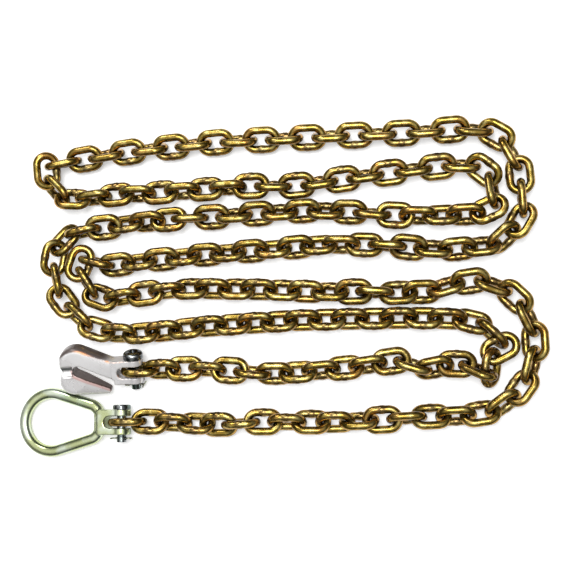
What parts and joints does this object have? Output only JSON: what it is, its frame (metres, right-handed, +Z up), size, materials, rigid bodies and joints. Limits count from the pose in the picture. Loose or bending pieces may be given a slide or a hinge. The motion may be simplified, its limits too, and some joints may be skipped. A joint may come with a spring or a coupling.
{
  "type": "transport chain",
  "caption": "Short-link lashing chain laid in eight runs, with a clevis pear ring at one end and a clevis grab hook with wings at the other.",
  "frame": {"origin": "middle of the footprint, on the floor the chain lies on", "axes": "+Z up from the floor, +X to the right of the picture along the runs, +Y to its top"},
  "size_m": [0.5294, 0.3362, 0.0411],
  "materials": {
    "chain_plating": "yellow zinc, glossy",
    "ring_plating": "pale iridescent zinc",
    "hook_plating": "bright zinc",
    "pin_steel": "dark oiled steel",
    "split_pin_steel": "plain steel wire"
  },
  "bodies": {
    "chain_01": {"chain_01": "chain_plating"},
    "chain_02": {"chain_02": "chain_plating"},
    "chain_03": {"chain_03": "chain_plating"},
    "chain_04": {"chain_04": "chain_plating"},
    "chain_05": {"chain_05": "chain_plating"},
    "chain_06": {"chain_06": "chain_plating"},
    "chain_07": {"chain_07": "chain_plating"},
    "chain_08": {"chain_08": "chain_plating"},
    "chain_09": {"chain_09": "chain_plating"},
    "chain_10": {"chain_10": "chain_plating"},
    "chain_11": {"chain_11": "chain_plating"},
    "chain_12": {"chain_12": "chain_plating"},
    "chain_13": {"chain_13": "chain_plating"},
    "chain_14": {"chain_14": "chain_plating"},
    "chain_15": {"chain_15": "chain_plating"},
    "chain_16": {"chain_16": "chain_plating"},
    "chain_17": {"chain_17": "chain_plating"},
    "chain_18": {"chain_18": "chain_plating"},
    "chain_19": {"chain_19": "chain_plating"},
    "chain_20": {"chain_20": "chain_plating"},
    "chain_21": {"chain_21": "chain_plating"},
    "chain_22": {"chain_22": "chain_plating"},
    "chain_23": {"chain_23": "chain_plating"},
    "chain_24": {"chain_24": "chain_plating"},
    "chain_25": {"chain_25": "chain_plating"},
    "chain_26": {"chain_26": "chain_plating"},
    "chain_27": {"chain_27": "chain_plating"},
    "chain_28": {"chain_28": "chain_plating"},
    "chain_29": {"chain_29": "chain_plating"},
    "chain_30": {"chain_30": "chain_plating"},
    "chain_31": {"chain_31": "chain_plating"},
    "chain_32": {"chain_32": "chain_plating"},
    "chain_33": {"chain_33": "chain_plating"},
    "chain_34": {"chain_34": "chain_plating"},
    "chain_35": {"chain_35": "chain_plating"},
    "chain_36": {"chain_36": "chain_plating"},
    "chain_37": {"chain_37": "chain_plating"},
    "chain_38": {"chain_38": "chain_plating"},
    "chain_39": {"chain_39": "chain_plating"},
    "chain_40": {"chain_40": "chain_plating"},
    "chain_41": {"chain_41": "chain_plating"},
    "chain_42": {"chain_42": "chain_plating"},
    "chain_43": {"chain_43": "chain_plating"},
    "chain_44": {"chain_44": "chain_plating"},
    "chain_45": {"chain_45": "chain_plating"},
    "pear_ring": {"pear_ring": "ring_plating"},
    "ring_pin": {"ring_load_pin": "pin_steel", "ring_split_pin": "split_pin_steel"},
    "grab_hook": {"grab_hook": "hook_plating"},
    "hook_pin": {"hook_load_pin": "pin_steel", "hook_split_pin": "split_pin_steel"}
  },
  "joints": [
    {"name": "hinge_21_22", "type": "hinge", "parent": "chain_22", "child": "chain_21", "pos_m": [-0.18543, 0.14067, 0.01357], "axis": [0.1509, -0.9885, 0], "range_deg": [-3.5, 12]},
    {"name": "hinge_20_21", "type": "hinge", "parent": "chain_21", "child": "chain_20", "pos_m": [-0.09294, 0.14905, 0.01346], "axis": [0.0728, -0.9899, -0.1219], "range_deg": [0, 12]},
    {"name": "hinge_19_20", "type": "hinge", "parent": "chain_20", "child": "chain_19", "pos_m": [0.00075, 0.15226, 0.01348], "axis": [0.014, -0.9924, -0.1219], "range_deg": [0, 12]},
    {"name": "hinge_18_19", "type": "hinge", "parent": "chain_19", "child": "chain_18", "pos_m": [0.09504, 0.15354, 0.01355], "axis": [0.0132, -0.9999, 0], "range_deg": [0, 12]},
    {"name": "hinge_17_18", "type": "hinge", "parent": "chain_18", "child": "chain_17", "pos_m": [0.18927, 0.15582, 0.01505], "axis": [0.043, -0.9991, 0], "range_deg": [0, 12]},
    {"name": "hinge_16_17", "type": "hinge", "parent": "chain_17", "child": "chain_16", "pos_m": [0.24073, 0.09175, 0.01508], "axis": [0.9972, 0.0753, 0], "range_deg": [0, 12]},
    {"name": "hinge_15_16", "type": "hinge", "parent": "chain_16", "child": "chain_15", "pos_m": [0.23044, 0.04864, 0.0171], "axis": [0.8568, -0.504, 0.1088], "range_deg": [0, 12]},
    {"name": "hinge_14_15", "type": "hinge", "parent": "chain_15", "child": "chain_14", "pos_m": [0.11557, 0.04082, 0.01481], "axis": [-0.1136, -0.9935, 0], "range_deg": [0, 7]},
    {"name": "hinge_13_14", "type": "hinge", "parent": "chain_14", "child": "chain_13", "pos_m": [0.07237, 0.04308, 0.01387], "axis": [-0.054, -0.9939, 0.0958], "range_deg": [0, 12]},
    {"name": "hinge_12_13", "type": "hinge", "parent": "chain_13", "child": "chain_12", "pos_m": [-0.04236, 0.03759, 0.01211], "axis": [-0.0599, 0.9814, 0.1822], "range_deg": [-3.5, 12]},
    {"name": "hinge_11_12", "type": "hinge", "parent": "chain_12", "child": "chain_11", "pos_m": [-0.13426, 0.03049, 0.0129], "axis": [0.0773, -0.9818, -0.1736], "range_deg": [-3.5, 12]},
    {"name": "hinge_10_11", "type": "hinge", "parent": "chain_11", "child": "chain_10", "pos_m": [-0.20764, 0.01302, 0.01828], "axis": [0.9452, -0.3264, 0], "range_deg": [-2, 12]},
    {"name": "hinge_09_10", "type": "hinge", "parent": "chain_10", "child": "chain_09", "pos_m": [-0.11828, -0.00113, 0.01447], "axis": [0.1237, -0.9923, 0], "range_deg": [-2, 12]},
    {"name": "hinge_08_09", "type": "hinge", "parent": "chain_09", "child": "chain_08", "pos_m": [-0.02441, -0.00019, 0.01243], "axis": [-0.0249, -0.9852, 0.1693], "range_deg": [0, 12]},
    {"name": "hinge_07_08", "type": "hinge", "parent": "chain_08", "child": "chain_07", "pos_m": [0.09331, -0.00389, 0.01522], "axis": [0.0141, -0.9999, 0], "range_deg": [0, 12]},
    {"name": "hinge_06_07", "type": "hinge", "parent": "chain_07", "child": "chain_06", "pos_m": [0.20564, 0.00654, 0.01678], "axis": [-0.1418, 0.9801, 0.1387], "range_deg": [-3.5, 12]},
    {"name": "hinge_05_06", "type": "hinge", "parent": "chain_06", "child": "chain_05", "pos_m": [0.25023, -0.07006, 0.01576], "axis": [0.9652, 0.0392, 0.2586], "range_deg": [0, 12]},
    {"name": "hinge_04_05", "type": "hinge", "parent": "chain_05", "child": "chain_04", "pos_m": [0.18147, -0.12493, 0.01398], "axis": [0.1447, -0.94, 0.3089], "range_deg": [0, 12]},
    {"name": "hinge_03_04", "type": "hinge", "parent": "chain_04", "child": "chain_03", "pos_m": [0.08844, -0.12956, 0.01433], "axis": [0.0636, -0.9882, -0.1391], "range_deg": [-3.5, 12]},
    {"name": "hinge_02_03", "type": "hinge", "parent": "chain_03", "child": "chain_02", "pos_m": [-0.02874, -0.13149, 0.01446], "axis": [0.0056, -1, 0], "range_deg": [0, 12]},
    {"name": "hinge_01_02", "type": "hinge", "parent": "chain_02", "child": "chain_01", "pos_m": [-0.0732, -0.13462, 0.01167], "axis": [-0.0496, 0.9231, 0.3814], "range_deg": [-3.5, 12]},
    {"name": "hinge_23_22", "type": "hinge", "parent": "chain_22", "child": "chain_23", "pos_m": [-0.19622, 0.09492, 0.01584], "axis": [-0.0474, -0.9872, 0.1521], "range_deg": [-3.5, 12]},
    {"name": "hinge_24_23", "type": "hinge", "parent": "chain_23", "child": "chain_24", "pos_m": [-0.15076, 0.10054, 0.01462], "axis": [-0.0844, 0.9964, 0], "range_deg": [-3, 12]},
    {"name": "hinge_25_24", "type": "hinge", "parent": "chain_24", "child": "chain_25", "pos_m": [-0.05651, 0.10339, 0.0142], "axis": [-0.047, 0.9989, 0], "range_deg": [0, 12]},
    {"name": "hinge_26_25", "type": "hinge", "parent": "chain_25", "child": "chain_26", "pos_m": [-0.00975, 0.10465, 0.01448], "axis": [-0.0133, 0.9993, 0.0349], "range_deg": [0, 12]},
    {"name": "hinge_27_26", "type": "hinge", "parent": "chain_26", "child": "chain_27", "pos_m": [0.08247, 0.11074, 0.01354], "axis": [-0.1169, 0.9931, 0], "range_deg": [0, 12]},
    {"name": "hinge_28_27", "type": "hinge", "parent": "chain_27", "child": "chain_28", "pos_m": [0.17634, 0.11972, 0.0139], "axis": [-0.084, 0.9965, 0], "range_deg": [0, 12]},
    {"name": "hinge_29_28", "type": "hinge", "parent": "chain_28", "child": "chain_29", "pos_m": [0.1942, 0.06787, 0.01642], "axis": [-0.3516, 0.9204, -0.1711], "range_deg": [0, 4]},
    {"name": "hinge_30_29", "type": "hinge", "parent": "chain_29", "child": "chain_30", "pos_m": [0.10273, 0.07215, 0.0154], "axis": [0.0712, 0.9975, 0], "range_deg": [0, 12]},
    {"name": "hinge_31_30", "type": "hinge", "parent": "chain_30", "child": "chain_31", "pos_m": [0.01045, 0.07716, 0.01222], "axis": [-0.0411, 0.9992, 0], "range_deg": [0, 12]},
    {"name": "hinge_32_31", "type": "hinge", "parent": "chain_31", "child": "chain_32", "pos_m": [-0.08202, 0.07323, 0.01398], "axis": [-0.0418, 0.9991, 0], "range_deg": [0, 12]},
    {"name": "hinge_33_32", "type": "hinge", "parent": "chain_32", "child": "chain_33", "pos_m": [-0.12647, 0.07149, 0.01417], "axis": [-0.0421, 0.9894, -0.1391], "range_deg": [-2, 12]},
    {"name": "hinge_34_33", "type": "hinge", "parent": "chain_33", "child": "chain_34", "pos_m": [-0.19499, 0.06399, 0.01567], "axis": [-0.1084, 0.9941, 0], "range_deg": [-3.5, 12]},
    {"name": "hinge_35_34", "type": "hinge", "parent": "chain_34", "child": "chain_35", "pos_m": [-0.21011, -0.02252, 0.01679], "axis": [-0.7833, -0.6155, 0.0871], "range_deg": [-3, 12]},
    {"name": "hinge_36_35", "type": "hinge", "parent": "chain_35", "child": "chain_36", "pos_m": [-0.12175, -0.04165, 0.0124], "axis": [-0.1055, 0.9793, -0.173], "range_deg": [0, 12]},
    {"name": "hinge_37_36", "type": "hinge", "parent": "chain_36", "child": "chain_37", "pos_m": [-0.02776, -0.0342, 0.01238], "axis": [-0.058, 0.9831, -0.1736], "range_deg": [0, 12]},
    {"name": "hinge_38_37", "type": "hinge", "parent": "chain_37", "child": "chain_38", "pos_m": [0.06647, -0.03088, 0.01231], "axis": [-0.0157, 0.9847, -0.1736], "range_deg": [0, 12]},
    {"name": "hinge_39_38", "type": "hinge", "parent": "chain_38", "child": "chain_39", "pos_m": [0.16076, -0.03096, 0.01234], "axis": [0.029, 0.9393, -0.342], "range_deg": [0, 12]},
    {"name": "hinge_40_39", "type": "hinge", "parent": "chain_39", "child": "chain_40", "pos_m": [0.20672, -0.0384, 0.0131], "axis": [0.2569, 0.9544, -0.1519], "range_deg": [0, 12]},
    {"name": "hinge_41_40", "type": "hinge", "parent": "chain_40", "child": "chain_41", "pos_m": [0.15981, -0.07458, 0.01255], "axis": [0.084, 0.9677, -0.2376], "range_deg": [0, 8]},
    {"name": "hinge_42_41", "type": "hinge", "parent": "chain_41", "child": "chain_42", "pos_m": [0.09741, -0.07463, 0.01382], "axis": [-0.134, 0.9764, -0.1693], "range_deg": [0, 12]},
    {"name": "hinge_43_42", "type": "hinge", "parent": "chain_42", "child": "chain_43", "pos_m": [0.00583, -0.0835, 0.01208], "axis": [-0.0317, 0.9332, -0.3581], "range_deg": [0, 12]},
    {"name": "hinge_44_43", "type": "hinge", "parent": "chain_43", "child": "chain_44", "pos_m": [-0.06191, -0.07987, 0.01478], "axis": [0.0627, 0.9977, -0.0262], "range_deg": [0, 12]},
    {"name": "hinge_45_44", "type": "hinge", "parent": "chain_44", "child": "chain_45", "pos_m": [-0.1084, -0.07943, 0.01452], "axis": [-0.0222, 0.9269, -0.3746], "range_deg": [0, 12]},
    {"name": "ring_swing", "type": "hinge", "parent": "chain_01", "child": "pear_ring", "pos_m": [-0.15404, -0.13232, 0.01373], "axis": [-0.0105, 0.9999, 0], "range_deg": [-80, 2]},
    {"name": "ring_pin_spin", "type": "hinge", "parent": "pear_ring", "child": "ring_pin", "pos_m": [-0.15404, -0.13232, 0.01373], "axis": [-0.0105, 0.9999, 0], "continuous": true},
    {"name": "hook_swing", "type": "hinge", "parent": "chain_45", "child": "grab_hook", "pos_m": [-0.14143, -0.07995, 0.01497], "axis": [0.0072, 0.9066, 0.422], "range_deg": [-4, 80]},
    {"name": "hook_pin_spin", "type": "hinge", "parent": "grab_hook", "child": "hook_pin", "pos_m": [-0.14143, -0.07995, 0.01497], "axis": [0.0072, 0.9066, 0.422], "continuous": true}
  ]
}
